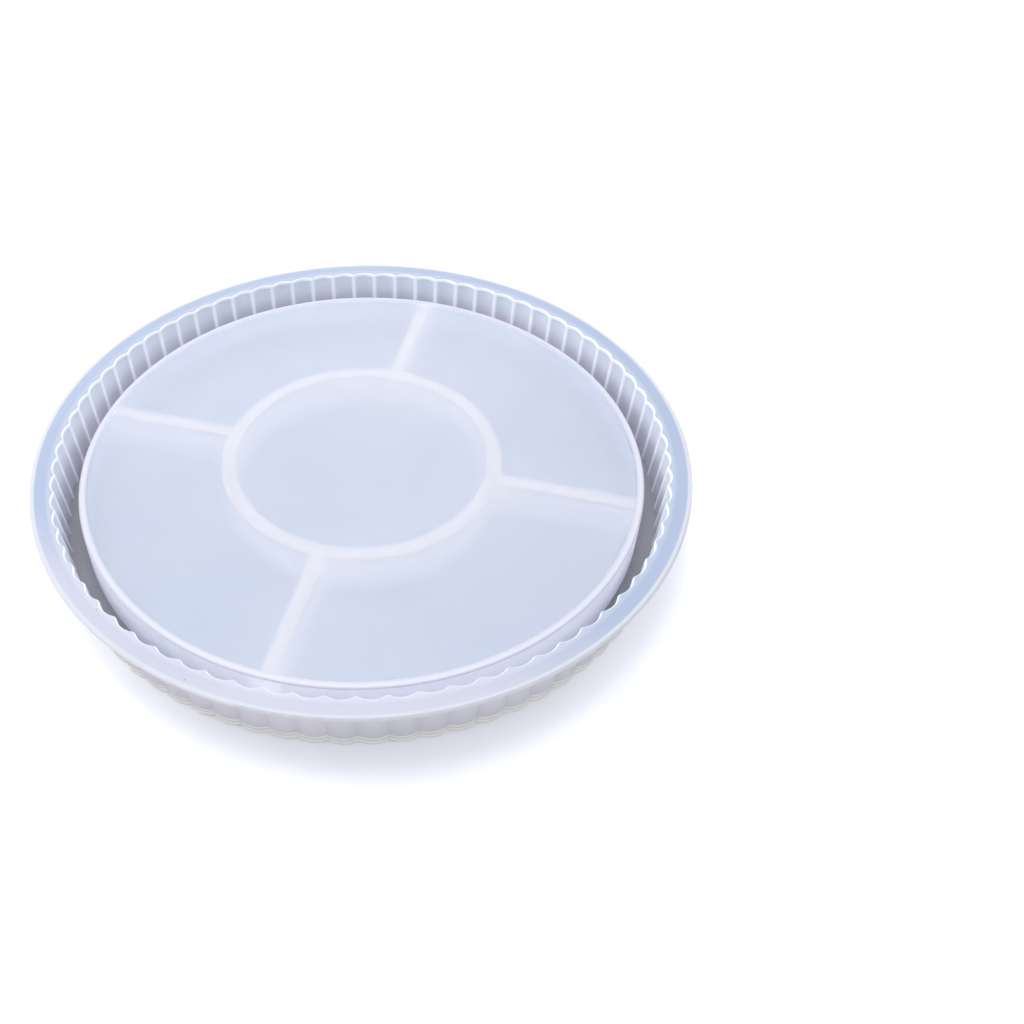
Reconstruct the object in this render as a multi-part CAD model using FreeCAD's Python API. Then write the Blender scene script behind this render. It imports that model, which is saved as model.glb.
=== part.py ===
import FreeCAD, Part
import math
import os

# A flexible silicone mould for casting a round fluted tray upside down.
# One moulding, drawn as its regions: rim flange, fluted side wall, channel floor,
# raised plateau with a thin deck, and the ribs that carry the deck from below.
# Millimetres. Origin: centre of the resting face. +Z up.

os.makedirs("parts", exist_ok=True)

# Overall size
RIM_RADIUS = 106.0
HEIGHT = 21.5

# Rim flange
LIP_THICKNESS = 1.4
LIP_ROUNDING = 0.6
MOUTH_ROUNDING = 0.9

# Fluted side wall: the lobes bulge outwards and meet in narrow inward ridges
FLUTE_COUNT = 75
CREST_RADIUS = 99.5
FLUTE_DEPTH = 1.05
RIDGE_RADIUS = 1.6
WALL_THICKNESS = 1.7
WALL_DRAFT = math.tan(math.radians(2.6))

# Channel floor, which forms the tray's upstanding edge
FLOOR_THICKNESS = 2.2
FOOT_ROUNDING = 0.4

# Plateau, which forms the inside of the tray
PLATEAU_RADIUS = 92.35
PLATEAU_DROP = 6.4
PLATEAU_WALL = 2.4
PLATEAU_DRAFT = math.tan(math.radians(1.2))
PLATEAU_ROUNDING = 0.8
DECK_THICKNESS = 2.2

# Ribs under the deck
RING_RIB_RADIUS = 46.3
RIB_THICKNESS = 4.8
RIB_FOOT_ROUNDING = 0.6
SPOKES = {"spoke_rib_right": 0.0, "spoke_rib_back": 90.0,
          "spoke_rib_left": 180.0, "spoke_rib_front": 270.0}

DECK_TOP = HEIGHT - PLATEAU_DROP
DECK_UNDERSIDE = DECK_TOP - DECK_THICKNESS
LIP_UNDERSIDE = HEIGHT - LIP_THICKNESS
PLATEAU_BORE = PLATEAU_RADIUS - PLATEAU_WALL
HALF_PITCH = math.pi / FLUTE_COUNT
TOP = FreeCAD.Vector(0, 0, 1)

# How flat an edge must lie, and how far from a circle it may be, to count as on it
FLATNESS = 1e-4
REACH = 1.0


def polar(radius, angle, z):
    return FreeCAD.Vector(radius * math.cos(angle), radius * math.sin(angle), z)


def disc(radius, low, high):
    return Part.makeCylinder(radius, high - low, FreeCAD.Vector(0, 0, low), TOP)


def crest_at(z):
    return CREST_RADIUS - WALL_DRAFT * (HEIGHT - z)


def flute_circles(z):
    """Distance and radius of the lobe circles, and distance of the ridge circles."""
    crest = crest_at(z)
    ridge_distance = crest - FLUTE_DEPTH + RIDGE_RADIUS
    across = ridge_distance * math.sin(HALF_PITCH)
    inset = crest - ridge_distance * math.cos(HALF_PITCH)
    spread = inset ** 2 + across ** 2 - RIDGE_RADIUS ** 2
    lobe_radius = spread / (2.0 * (inset + RIDGE_RADIUS))
    return crest - lobe_radius, lobe_radius, ridge_distance


def inner_outline(z):
    """Closed outline of the cavity: lobe arcs running smoothly into ridge arcs."""
    lobe_distance, lobe_radius, ridge_distance = flute_circles(z)
    edges = []
    for flute in range(FLUTE_COUNT):
        middle = 2.0 * HALF_PITCH * flute
        lobe = polar(lobe_distance, middle, z)
        ridge_before = polar(ridge_distance, middle - HALF_PITCH, z)
        ridge_after = polar(ridge_distance, middle + HALF_PITCH, z)
        next_lobe = polar(lobe_distance, middle + 2.0 * HALF_PITCH, z)
        start = lobe + (ridge_before - lobe).normalize() * lobe_radius
        finish = lobe + (ridge_after - lobe).normalize() * lobe_radius
        next_start = next_lobe + (ridge_after - next_lobe).normalize() * lobe_radius
        crest = polar(lobe_distance + lobe_radius, middle, z)
        tip = polar(ridge_distance - RIDGE_RADIUS, middle + HALF_PITCH, z)
        edges.append(Part.Arc(start, crest, finish).toShape())
        edges.append(Part.Arc(finish, tip, next_start).toShape())
    return Part.Wire(edges)


def outer_outline(z):
    """Closed outline of the outside: the same lobes one wall further out, in sharp grooves."""
    lobe_distance, lobe_radius, _ = flute_circles(z)
    outer_radius = lobe_radius + WALL_THICKNESS
    offset = lobe_distance * math.sin(HALF_PITCH)
    groove = lobe_distance * math.cos(HALF_PITCH) + math.sqrt(outer_radius ** 2 - offset ** 2)
    edges = []
    for flute in range(FLUTE_COUNT):
        middle = 2.0 * HALF_PITCH * flute
        start = polar(groove, middle - HALF_PITCH, z)
        crest = polar(lobe_distance + outer_radius, middle, z)
        finish = polar(groove, middle + HALF_PITCH, z)
        edges.append(Part.Arc(start, crest, finish).toShape())
    return Part.Wire(edges)


def lofted(outline, low, high):
    return Part.makeLoft([outline(low), outline(high)], True, True)


def edges_at(shape, z, near, far):
    """Edges lying in the plane z whose first end is between two distances from the axis."""
    picked = []
    for edge in shape.Edges:
        box = edge.BoundBox
        flat = abs(box.ZMin - z) < FLATNESS and abs(box.ZMax - z) < FLATNESS
        reach = math.hypot(edge.Vertexes[0].X, edge.Vertexes[0].Y)
        if flat and near < reach < far:
            picked.append(edge)
    return picked


def rim_flange():
    plate = disc(RIM_RADIUS, LIP_UNDERSIDE, HEIGHT)
    plate = plate.cut(lofted(inner_outline, LIP_UNDERSIDE, HEIGHT))
    mouth = edges_at(plate, HEIGHT, 0.0, CREST_RADIUS + REACH)
    plate = plate.makeFillet(MOUTH_ROUNDING, mouth)
    lip = edges_at(plate, HEIGHT, RIM_RADIUS - REACH, RIM_RADIUS + REACH)
    lip += edges_at(plate, LIP_UNDERSIDE, RIM_RADIUS - REACH, RIM_RADIUS + REACH)
    return plate.makeFillet(LIP_ROUNDING, lip)


def fluted_wall():
    outside = lofted(outer_outline, FLOOR_THICKNESS, LIP_UNDERSIDE)
    return outside.cut(lofted(inner_outline, FLOOR_THICKNESS, LIP_UNDERSIDE))


def plateau_radius_at(z):
    return PLATEAU_RADIUS + PLATEAU_DRAFT * (DECK_TOP - z)


def plateau_body(low, high):
    base = plateau_radius_at(low)
    top = plateau_radius_at(high)
    return Part.makeCone(base, top, high - low, FreeCAD.Vector(0, 0, low), TOP)


def channel_floor():
    slab = lofted(outer_outline, 0.0, FLOOR_THICKNESS)
    slab = slab.makeFillet(FOOT_ROUNDING, edges_at(slab, 0.0, 0.0, RIM_RADIUS))
    return slab.cut(plateau_body(0.0, FLOOR_THICKNESS))


def plateau_wall():
    wall = plateau_body(0.0, DECK_TOP)
    shoulder = edges_at(wall, DECK_TOP, 0.0, RIM_RADIUS)
    wall = wall.makeFillet(PLATEAU_ROUNDING, shoulder)
    return wall.cut(disc(PLATEAU_BORE, 0.0, DECK_TOP))


def plateau_deck():
    return disc(PLATEAU_BORE, DECK_UNDERSIDE, DECK_TOP)


def ring_rib():
    ring = disc(RING_RIB_RADIUS, 0.0, DECK_UNDERSIDE)
    ring = ring.cut(disc(RING_RIB_RADIUS - RIB_THICKNESS, 0.0, DECK_UNDERSIDE))
    foot = edges_at(ring, 0.0, 0.0, RIM_RADIUS)
    return ring.makeFillet(RIB_FOOT_ROUNDING, foot)


def spoke_rib(angle):
    corner = FreeCAD.Vector(0, -RIB_THICKNESS / 2.0, 0)
    bar = Part.makeBox(PLATEAU_RADIUS, RIB_THICKNESS, DECK_UNDERSIDE, corner)
    foot = []
    for edge in bar.Edges:
        box = edge.BoundBox
        if box.ZMax < FLATNESS and box.XLength > PLATEAU_BORE:
            foot.append(edge)
    bar = bar.makeFillet(RIB_FOOT_ROUNDING, foot)
    bar = bar.common(disc(PLATEAU_BORE, 0.0, DECK_UNDERSIDE))
    bar = bar.cut(disc(RING_RIB_RADIUS, 0.0, DECK_UNDERSIDE))
    bar.rotate(FreeCAD.Vector(0, 0, 0), TOP, angle)
    return bar


regions = {"rim_flange": rim_flange(), "fluted_wall": fluted_wall(),
           "channel_floor": channel_floor(), "plateau_wall": plateau_wall(),
           "plateau_deck": plateau_deck(), "deck_ring_rib": ring_rib()}
for name, angle in SPOKES.items():
    regions[name] = spoke_rib(angle)

for name, shape in regions.items():
    solids = shape.Solids
    region = solids[0] if len(solids) == 1 else shape
    region.exportStep("parts/" + name + ".step")
    print(name, len(solids), len(region.Faces), round(region.Volume, 1), region.isValid())
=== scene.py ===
import math

import bmesh
import bpy
from mathutils import Matrix, Vector


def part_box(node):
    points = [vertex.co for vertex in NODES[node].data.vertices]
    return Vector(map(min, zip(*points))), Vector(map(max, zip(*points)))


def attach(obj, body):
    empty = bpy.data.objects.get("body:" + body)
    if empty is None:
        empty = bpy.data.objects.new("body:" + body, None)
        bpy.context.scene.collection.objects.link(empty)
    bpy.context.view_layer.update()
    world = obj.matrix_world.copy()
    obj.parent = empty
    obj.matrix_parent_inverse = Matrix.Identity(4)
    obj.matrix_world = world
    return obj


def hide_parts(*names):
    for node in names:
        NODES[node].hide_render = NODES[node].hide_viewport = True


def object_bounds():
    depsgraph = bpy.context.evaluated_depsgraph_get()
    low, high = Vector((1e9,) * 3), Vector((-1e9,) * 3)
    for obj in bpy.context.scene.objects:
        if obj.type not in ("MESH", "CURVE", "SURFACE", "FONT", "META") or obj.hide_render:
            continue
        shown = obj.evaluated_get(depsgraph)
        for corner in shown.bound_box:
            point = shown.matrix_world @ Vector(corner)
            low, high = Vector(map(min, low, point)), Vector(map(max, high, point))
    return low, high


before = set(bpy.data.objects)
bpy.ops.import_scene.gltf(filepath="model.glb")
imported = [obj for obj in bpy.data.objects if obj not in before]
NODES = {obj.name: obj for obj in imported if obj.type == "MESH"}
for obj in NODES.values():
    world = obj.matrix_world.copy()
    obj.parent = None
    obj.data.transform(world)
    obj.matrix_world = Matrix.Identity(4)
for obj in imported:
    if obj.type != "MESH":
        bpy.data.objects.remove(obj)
cad_low, cad_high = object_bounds()

MM = 0.001

# Sizes read from the frame
RIM_RADIUS = (cad_high.x - cad_low.x) / 2
TOP = cad_high.z
FLOOR_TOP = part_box("channel_floor")[1].z
DECK_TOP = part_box("plateau_deck")[1].z
DECK_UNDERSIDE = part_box("plateau_deck")[0].z
PLATEAU_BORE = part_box("plateau_deck")[1].x
PLATEAU_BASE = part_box("plateau_wall")[1].x
RING_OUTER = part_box("deck_ring_rib")[1].x
RIB_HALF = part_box("spoke_rib_right")[1].y
RING_INNER = RING_OUTER - 2 * RIB_HALF
RING_MIDDLE = (RING_INNER + RING_OUTER) / 2

# Sizes of the moulding that no box gives
CREST_RADIUS = 99.5 * MM
WALL_DRAFT = math.tan(math.radians(2.6))
PLATEAU_DRAFT = math.tan(math.radians(1.2))
SHOULDER_ROUNDING = 0.8 * MM
FOOT_ROUNDING = 0.4 * MM

# Silicone
IOR = 1.41
SATIN = 0.34
GRAIN_DEPTH = 0.02 * MM
WAVE_DEPTH = 0.12 * MM

# Meshes of the skins
SEGMENTS = 480
DECK_STEPS = 10
GAP = 0.03 * MM
SMOOTH_BELOW = math.radians(35)


class Graph:
    """A material's node tree, with short calls for the nodes used here."""

    def __init__(self, name):
        self.material = bpy.data.materials.new(name)
        self.material.use_nodes = True
        self.tree = self.material.node_tree
        self.tree.nodes.clear()
        self.output = self.tree.nodes.new("ShaderNodeOutputMaterial")
        self.position = self.node("ShaderNodeTexCoord").outputs["Object"]

    def feed(self, socket, value):
        if isinstance(value, bpy.types.NodeSocket):
            self.tree.links.new(value, socket)
        else:
            socket.default_value = value

    def node(self, kind, inputs=None, **settings):
        made = self.tree.nodes.new(kind)
        for key, value in settings.items():
            setattr(made, key, value)
        for key, value in (inputs or {}).items():
            self.feed(made.inputs[key], value)
        return made

    def math(self, operation, first, second=0.0):
        return self.node("ShaderNodeMath", {0: first, 1: second}, operation=operation).outputs[0]

    def line(self, value, low, high, to_low=0.0, to_high=1.0, **settings):
        """Straight change from to_low at low to to_high at high."""
        inputs = {0: value, 1: low, 2: high, 3: to_low, 4: to_high}
        return self.node("ShaderNodeMapRange", inputs, **settings).outputs[0]

    def step(self, value, low, high, to_low=0.0, to_high=1.0):
        """Smooth change from to_low at low to to_high at high."""
        return self.line(value, low, high, to_low, to_high, interpolation_type="SMOOTHSTEP")

    def noise(self, scale, detail=2.0, roughness=0.5):
        inputs = {"Vector": self.position, "Scale": scale, "Detail": detail,
                  "Roughness": roughness}
        return self.node("ShaderNodeTexNoise", inputs).outputs["Fac"]

    def blend(self, factor, first, second):
        made = self.node("ShaderNodeMix", data_type="RGBA")
        self.feed(made.inputs["Factor"], factor)
        self.feed(made.inputs["A"], first)
        self.feed(made.inputs["B"], second)
        return made.outputs["Result"]

    def axes(self):
        return self.node("ShaderNodeSeparateXYZ", {0: self.position}).outputs

    def radius(self):
        """Distance from the mould's axis."""
        flat = self.node("ShaderNodeVectorMath", {0: self.position, 1: (1.0, 1.0, 0.0)},
                         operation="MULTIPLY").outputs[0]
        length = self.node("ShaderNodeVectorMath", {0: flat}, operation="LENGTH")
        return length.outputs["Value"]


def inward_of_crest(graph):
    """How far inside the lobes' crests a point is.

    0 in a lobe, the flute depth on a ridge, negative outside."""
    height = graph.axes()[2]
    crest = graph.math("ADD", graph.math("MULTIPLY", height, WALL_DRAFT),
                       CREST_RADIUS - WALL_DRAFT * TOP)
    return graph.math("SUBTRACT", crest, graph.radius())


def from_nearest_spoke(graph):
    """Distance from the middle of the nearest spoke rib's line."""
    east, north, _ = graph.axes()
    return graph.math("MINIMUM", graph.math("ABSOLUTE", east), graph.math("ABSOLUTE", north))


def colour(red, green, blue):
    return (red, green, blue, 1.0)


BLACK = colour(0.0, 0.0, 0.0)


def satin(graph, base, roughness=SATIN, transmission=0.0, glow=None, painted_glow=None):
    """Silicone skin: satin gloss, a fine moulded grain and slow waves left by the soft sheet.

    glow is the share of light let through diffusely, and carried is painted light: an emitted
    colour, no lamp, that stands in for light reaching the place from inside the silicone."""
    haze = graph.noise(1100.0, 3.0, 0.6)
    slow = graph.noise(26.0)
    rough = graph.line(slow, 0.3, 0.7, roughness - 0.04, roughness + 0.04)
    wavy = graph.node("ShaderNodeBump", {"Strength": 1.0, "Distance": WAVE_DEPTH, "Height": slow})
    bump = graph.node("ShaderNodeBump", {
        "Strength": 0.25, "Distance": GRAIN_DEPTH, "Height": haze,
        "Normal": wavy.outputs["Normal"]})
    shader = graph.node("ShaderNodeBsdfPrincipled", {
        "Base Color": base, "Roughness": rough, "IOR": IOR,
        "Transmission Weight": transmission, "Normal": bump.outputs["Normal"]})
    # Painted light: the emitted colour makes the surface glow though it is no lamp.
    if painted_glow is not None:
        graph.feed(shader.inputs["Emission Color"], painted_glow)
        shader.inputs["Emission Strength"].default_value = 1.0
    surface = shader.outputs[0]
    if glow is not None:
        through = graph.node("ShaderNodeBsdfTranslucent", {"Color": base})
        mixed = graph.node("ShaderNodeMixShader", {0: glow, 1: surface, 2: through.outputs[0]})
        surface = mixed.outputs[0]
    graph.feed(graph.output.inputs["Surface"], surface)


def mottled(graph, first, second, scale=38.0):
    """Soft patches of two close tints."""
    patches = graph.step(graph.noise(scale, 3.0), 0.3, 0.7)
    return graph.blend(patches, colour(*first), colour(*second))


def specks(graph, base, density, speck_radius, tint):
    """Sparse round bubbles or dust specks, in some of density cells to the metre."""
    rarity = 0.72
    cells = graph.node("ShaderNodeTexVoronoi", {"Vector": graph.position, "Scale": density},
                       voronoi_dimensions="2D")
    draw = graph.node("ShaderNodeSeparateColor", {0: cells.outputs["Color"]}).outputs[0]
    size = speck_radius * density
    dot = graph.step(cells.outputs["Distance"], size, 0.4 * size)
    shown = graph.math("MULTIPLY", dot, graph.math("GREATER_THAN", draw, rarity))
    return graph.blend(shown, base, tint)


def deck_material():
    """Thin see-through silicone, whiter where a rib makes it thick."""
    graph = Graph("silicone_deck")
    height = graph.axes()[2]
    radius = graph.radius()
    blur = 0.4 * MM
    top_share = 0.24
    spoke = graph.step(from_nearest_spoke(graph), RIB_HALF + blur, RIB_HALF - blur)
    spoke = graph.math("MULTIPLY", spoke, graph.step(radius, RING_INNER, RING_OUTER))
    from_ring = graph.math("ABSOLUTE", graph.math("SUBTRACT", radius, RING_MIDDLE))
    ring = graph.step(from_ring, RIB_HALF + blur, RIB_HALF - blur)
    level = graph.step(height, DECK_UNDERSIDE, DECK_TOP, 1.0, top_share)
    thick = graph.math("MULTIPLY", graph.math("MAXIMUM", spoke, ring), level)
    thin_tint = mottled(graph, (0.66, 0.71, 0.805), (0.685, 0.73, 0.815), 30.0)
    base = graph.blend(thick, thin_tint, colour(0.73, 0.70, 0.725))
    base = specks(graph, base, 48.0, 0.22 * MM, colour(0.92, 0.93, 0.96))
    satin(graph, base, transmission=graph.line(thick, 0.0, 1.0, 0.75, 0.35))
    return graph.material


def rib_material():
    """White silicone with painted light: whiter and glowing more towards the deck, standing in for
    light that comes down from the deck.
    """
    graph = Graph("silicone_rib")
    # Painted light: whiter towards the deck, and an emitted glow that grows towards the deck.
    rise = graph.line(graph.axes()[2], 0.0, DECK_UNDERSIDE)
    base = graph.blend(rise, colour(0.90, 0.92, 0.97), colour(0.99, 0.98, 0.99))
    painted_glow = graph.blend(rise, colour(0.20, 0.18, 0.155), colour(0.43, 0.385, 0.345))
    satin(graph, base, 0.4, glow=0.5, painted_glow=painted_glow)
    return graph.material


def plateau_material():
    """Pale side with painted light, a pale colour and an emitted glow growing towards the deck and
    beside the spokes for a side in the channel's shade; a plain shoulder.
    """
    graph = Graph("silicone_plateau")
    height = graph.axes()[2]
    shoulder = graph.step(height, DECK_TOP - SHOULDER_ROUNDING, DECK_TOP - 0.3 * MM)
    # Painted light: the side's pale colour makes up for the channel's shade.
    side = mottled(graph, (0.84, 0.86, 0.93), (0.87, 0.88, 0.94))
    rim = graph.step(graph.radius(), PLATEAU_BORE + 0.3 * MM, PLATEAU_BORE + 0.9 * MM)
    top = graph.blend(rim, colour(0.40, 0.43, 0.50), colour(0.48, 0.485, 0.55))
    base = graph.blend(shoulder, side, top)
    # Painted light: an emitted glow, stronger towards the deck and beside the spokes, faint on the
    # shoulder.
    painted_spoke_glow = graph.step(from_nearest_spoke(graph), 2.6 * RIB_HALF, RIB_HALF, 0.0, 0.16)
    painted_glow_amount = graph.math("ADD", graph.line(height, 0.0, DECK_TOP, 0.06, 0.40), painted_spoke_glow)
    painted_glow_amount = graph.math("MULTIPLY", painted_glow_amount, graph.line(shoulder, 0.0, 1.0, 1.0, 0.04))
    painted_glow = graph.blend(painted_glow_amount, BLACK, colour(0.92, 0.955, 1.02))
    satin(graph, base, glow=graph.line(shoulder, 0.0, 1.0, 0.5, 0.1), painted_glow=painted_glow)
    return graph.material


def wall_material():
    """Bluish cells inside, darker lower down with painted shade, between ridges painted white as a
    highlight with a faint emitted glow; a lilac outside with painted light at the foot, a cream
    band topped by a paler highlight line.
    """
    graph = Graph("silicone_wall")
    height = graph.axes()[2]
    inward = inward_of_crest(graph)
    ridge = graph.step(inward, 0.72 * MM, 1.02 * MM)
    cell = mottled(graph, (0.70, 0.76, 0.86), (0.73, 0.79, 0.88))
    # Painted shade: the cells darken towards the channel floor.
    depth = graph.step(height, 19 * MM, 9 * MM, 0.0, 0.5)
    cell = graph.blend(depth, cell, colour(0.40, 0.38, 0.42))
    # Painted highlight: the ridges are coloured near white.
    inside = graph.blend(graph.math("MULTIPLY", ridge, 0.75), cell, colour(0.93, 0.95, 1.0))
    outside = mottled(graph, (0.60, 0.585, 0.62), (0.64, 0.615, 0.66))
    # Painted light: a cream band at the foot for light let through the thick floor ring, with a
    # paler painted highlight line along its top.
    foot = graph.step(height, 3.4 * MM, 3.0 * MM)
    outside = graph.blend(foot, outside, colour(0.79, 0.755, 0.735))
    painted_foot_highlight = graph.math("MULTIPLY", foot, graph.step(height, 2.7 * MM, 3.0 * MM))
    outside = graph.blend(painted_foot_highlight, outside, colour(0.90, 0.88, 0.86))
    base = graph.blend(graph.step(inward, -0.4 * MM, -0.8 * MM), inside, outside)
    # Painted light: an emitted glow on the ridges, growing upwards.
    painted_glow_amount = graph.math("MULTIPLY", ridge, graph.step(height, 8 * MM, 20 * MM, 0.04, 0.09))
    satin(graph, base, glow=0.35, painted_glow=graph.blend(painted_glow_amount, BLACK, colour(1.0, 1.0, 1.04)))
    return graph.material


def flange_material():
    """Painted shade and light: blue and darker behind, lilac and lighter in front, following how
    light falls across it; painted highlights as pale edges at the rim and round the mouth, with a
    faint emitted glow at the mouth.
    """
    graph = Graph("silicone_flange")
    radius = graph.radius()
    _, north, height = graph.axes()
    inward = inward_of_crest(graph)
    # Painted shade and light: the back half is coloured darker and bluer, the front half lighter
    # and lilac.
    back = mottled(graph, (0.355, 0.415, 0.55), (0.38, 0.44, 0.57), 24.0)
    front = mottled(graph, (0.50, 0.51, 0.60), (0.525, 0.535, 0.615), 24.0)
    base = graph.blend(graph.step(north, -92 * MM, -45 * MM), front, back)
    # Painted highlights: two pale bands where the rounded lip catches light.
    rim = graph.step(radius, RIM_RADIUS - 1.8 * MM, RIM_RADIUS - 1.3 * MM)
    base = graph.blend(rim, base, colour(0.57, 0.59, 0.65))
    edge = graph.step(radius, RIM_RADIUS - 0.7 * MM, RIM_RADIUS - 0.3 * MM)
    base = graph.blend(edge, base, colour(0.60, 0.595, 0.64))
    # Painted highlight: near white round the mouth's rounding, a faint whitening on the flange's
    # inner face, and a faint emitted glow on the rounding.
    mouth = graph.math("MULTIPLY", graph.step(height, TOP - 0.04 * MM, TOP - 0.30 * MM),
                       graph.step(inward, -1.15 * MM, -0.95 * MM))
    soft = graph.step(inward, -1.9 * MM, -0.9 * MM, 0.0, 0.12)
    base = graph.blend(graph.math("MAXIMUM", mouth, soft), base, colour(0.90, 0.92, 0.97))
    base = specks(graph, base, 62.0, 0.3 * MM, colour(0.22, 0.22, 0.26))
    satin(graph, base, glow=0.35, painted_glow=graph.blend(mouth, BLACK, colour(0.09, 0.095, 0.10)))
    return graph.material


def floor_material():
    """Painted shade in the channel, coloured grey for the shade of the deep, narrow channel;
    painted light on the outside and underneath, coloured cream for light let through the thick
    floor ring.
    """
    graph = Graph("silicone_channel")
    height = graph.axes()[2]
    # Painted shade: the channel's floor is coloured grey.
    inside = mottled(graph, (0.36, 0.355, 0.40), (0.39, 0.385, 0.43))
    # Painted light: cream below the top face of the channel floor.
    upper = graph.step(height, FLOOR_TOP - 0.3 * MM, FLOOR_TOP - 0.05 * MM)
    base = graph.blend(upper, colour(0.86, 0.83, 0.80), inside)
    satin(graph, base, 0.36, glow=0.3)
    return graph.material


def skin(name, mesh, material, *nodes):
    """A silicone piece in place of CAD nodes."""
    mesh.materials.clear()
    mesh.materials.append(material)
    mesh.shade_smooth()
    mesh.set_sharp_from_angle(angle=SMOOTH_BELOW)
    piece = bpy.data.objects.new(name, mesh)
    bpy.context.scene.collection.objects.link(piece)
    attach(piece, "root")
    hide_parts(*nodes)
    return piece


def turned(name, *runs):
    """Mesh swept round the axis from runs of (radius, height) points."""
    verts, faces = [], []
    for run in runs:
        rings = []
        for radius, height in run:
            count = SEGMENTS if radius else 1
            rings.append([len(verts) + i for i in range(count)])
            for i in range(count):
                angle = 2.0 * math.pi * i / SEGMENTS
                verts.append((radius * math.cos(angle), radius * math.sin(angle), height))
        for here, there in zip(rings, rings[1:]):
            for i in range(SEGMENTS):
                j = (i + 1) % SEGMENTS
                corners = [here[j % len(here)], here[i % len(here)],
                           there[i % len(there)], there[j % len(there)]]
                faces.append(list(dict.fromkeys(corners)))
    mesh = bpy.data.meshes.new(name)
    mesh.from_pydata(verts, [], faces)
    mesh.update()
    return mesh


def arc(centre, radius, start, end, steps=8):
    """Points on an arc in the profile plane, angles in degrees."""
    points = []
    for i in range(steps + 1):
        angle = math.radians(start + (end - start) * i / steps)
        points.append((centre[0] + radius * math.cos(angle), centre[1] + radius * math.sin(angle)))
    return points


def across(start, end, height, steps):
    """Points level across the profile, from one radius to another."""
    return [(start + (end - start) * i / steps, height) for i in range(steps + 1)]


def deck_mesh(name):
    """Underside and top of the deck, open where it runs into the plateau wall."""
    underside = across(0.0, PLATEAU_BORE, DECK_UNDERSIDE, DECK_STEPS)[::-1]
    top = across(0.0, PLATEAU_BORE, DECK_TOP, DECK_STEPS)
    return turned(name, underside, top)


def plateau_wall_mesh(name):
    """Outside and inside of the plateau wall, open where it runs into the deck and the floor."""
    shoulder_radius = PLATEAU_BASE - PLATEAU_DRAFT * DECK_TOP - SHOULDER_ROUNDING
    outside = across(PLATEAU_BORE, shoulder_radius, DECK_TOP, 2)
    shoulder = (shoulder_radius, DECK_TOP - SHOULDER_ROUNDING)
    outside += arc(shoulder, SHOULDER_ROUNDING, 90, 0)[1:]
    for height in (10 * MM, 6 * MM, FLOOR_TOP):
        outside.append((PLATEAU_BASE - PLATEAU_DRAFT * height, height))
    inside = across(PLATEAU_BASE, PLATEAU_BORE + FOOT_ROUNDING, 0.0, 2)
    foot = (PLATEAU_BORE + FOOT_ROUNDING, FOOT_ROUNDING)
    inside += arc(foot, FOOT_ROUNDING, 270, 180, 4)[1:]
    inside += [(PLATEAU_BORE, height) for height in (4 * MM, 8 * MM, DECK_UNDERSIDE)]
    return turned(name, outside, inside)


def open_topped(name, node):
    """A rib's own shape, open where it runs into the deck, so that light passes between them."""
    shape = bmesh.new()
    shape.from_mesh(node.data)
    tops = [face for face in shape.faces
            if face.calc_center_median().z > DECK_UNDERSIDE - GAP]
    bmesh.ops.delete(shape, geom=tops, context="FACES")
    mesh = bpy.data.meshes.new(name)
    shape.to_mesh(mesh)
    shape.free()
    return mesh


finishes = {"rim_flange": flange_material(), "fluted_wall": wall_material(),
            "channel_floor": floor_material(), "plateau_wall": plateau_material(),
            "plateau_deck": deck_material()}
rib = rib_material()
for name, node in NODES.items():
    node.data.materials.clear()
    node.data.materials.append(finishes.get(name, rib))

# Faces where two nodes touch would show dark through the deck, so these pieces leave them out
skin("plateau_deck_skin", deck_mesh("plateau_deck_skin"), finishes["plateau_deck"],
     "plateau_deck")
skin("plateau_wall_skin", plateau_wall_mesh("plateau_wall_skin"), finishes["plateau_wall"],
     "plateau_wall")
for name, node in NODES.items():
    if "rib" in name:
        skin(name + "_skin", open_topped(name + "_skin", node), rib, name)

# Floor, not part of the object
FLOOR_SIZE = 8.0
FLOOR_DROP = 0.2 * MM
bpy.ops.mesh.primitive_plane_add(size=FLOOR_SIZE, location=(0, 0, -FLOOR_DROP))
floor = bpy.context.object
floor.name = "floor"
ground = Graph("pale_floor")
shader = ground.node("ShaderNodeBsdfPrincipled",
                     {"Base Color": colour(0.82, 0.83, 0.87), "Roughness": 0.8})
ground.feed(ground.output.inputs["Surface"], shader.outputs[0])
floor.data.materials.append(ground.material)

# World and lights
scene = bpy.context.scene
scene.view_settings.view_transform = "Standard"
world = bpy.data.worlds.new("studio")
scene.world = world
world.use_nodes = True
sky = world.node_tree.nodes["Background"]
sky.inputs["Color"].default_value = (0.96, 0.98, 1.0, 1)
sky.inputs["Strength"].default_value = 1.3


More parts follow.
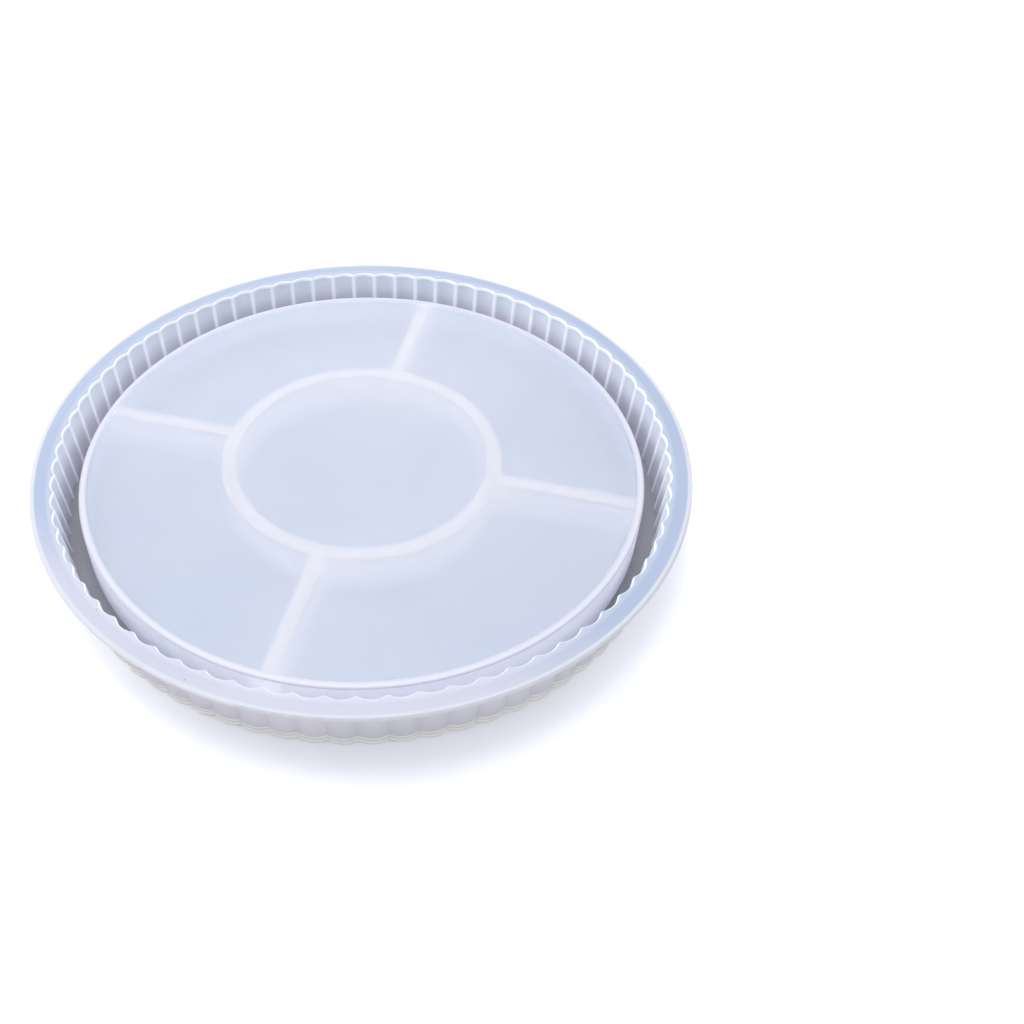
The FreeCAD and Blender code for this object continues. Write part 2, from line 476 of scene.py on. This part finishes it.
def area_light(name, location, size, watts, tint):
    """Round softbox aimed at the mould."""
    data = bpy.data.lights.new(name, "AREA")
    data.shape = "DISK"
    data.size = size
    data.energy = watts
    data.color = tint
    lamp = bpy.data.objects.new(name, data)
    scene.collection.objects.link(lamp)
    lamp.location = location
    lamp.rotation_euler = (-Vector(location)).to_track_quat("-Z", "Y").to_euler()
    return lamp


area_light("key", (-0.20, 0.25, 1.2), 0.9, 5.8, (1.0, 0.99, 0.98))
area_light("back", (-0.30, 1.05, 0.72), 0.8, 2.1, (1.0, 0.94, 0.94))
area_light("rear", (0.55, 0.75, 0.40), 0.5, 2.1, (1.0, 0.96, 0.95))
side = area_light("side", (-0.46, 0.02, 0.28), 0.35, 1.3, (1.0, 0.96, 0.95))
side.visible_glossy = False

# Camera: pitched down 46 degrees, turned a little to the mould's right
AZIMUTH = math.radians(16.228)
PITCH = math.radians(46.01)
ROLL = math.radians(-1.091)
SENSOR_WIDTH = 36.0
LENS = 34.437
SHIFT_ASIDE = 0.127
CLIP_START = 0.01
# The rim's centre as the camera sees it: to the right, down and ahead, in rim radii
RIM_CENTRE_SEEN = Vector((-0.06513, -0.22264, 3.02784)) * RIM_RADIUS

right = Vector((1, 0, 0))
down = Vector((0, -math.sin(PITCH), -math.cos(PITCH)))
ahead = Vector((0, math.cos(PITCH), -math.sin(PITCH)))
rolled_right = right * math.cos(ROLL) - down * math.sin(ROLL)
rolled_down = right * math.sin(ROLL) + down * math.cos(ROLL)
turn = Matrix.Rotation(AZIMUTH, 3, "Z")
axes = [turn @ axis for axis in (rolled_right, rolled_down, ahead)]
place = Vector((0, 0, TOP))
for axis, distance in zip(axes, RIM_CENTRE_SEEN):
    place -= axis * distance

cam_data = bpy.data.cameras.new("camera")
cam_data.sensor_width = SENSOR_WIDTH
cam_data.lens = LENS
cam_data.shift_x = SHIFT_ASIDE
cam_data.clip_start = CLIP_START
cam = bpy.data.objects.new("camera", cam_data)
scene.collection.objects.link(cam)
pose = Matrix.Identity(4)
for row in range(3):
    pose[row][0] = axes[0][row]
    pose[row][1] = -axes[1][row]
    pose[row][2] = -axes[2][row]
    pose[row][3] = place[row]
cam.matrix_world = pose
scene.camera = cam
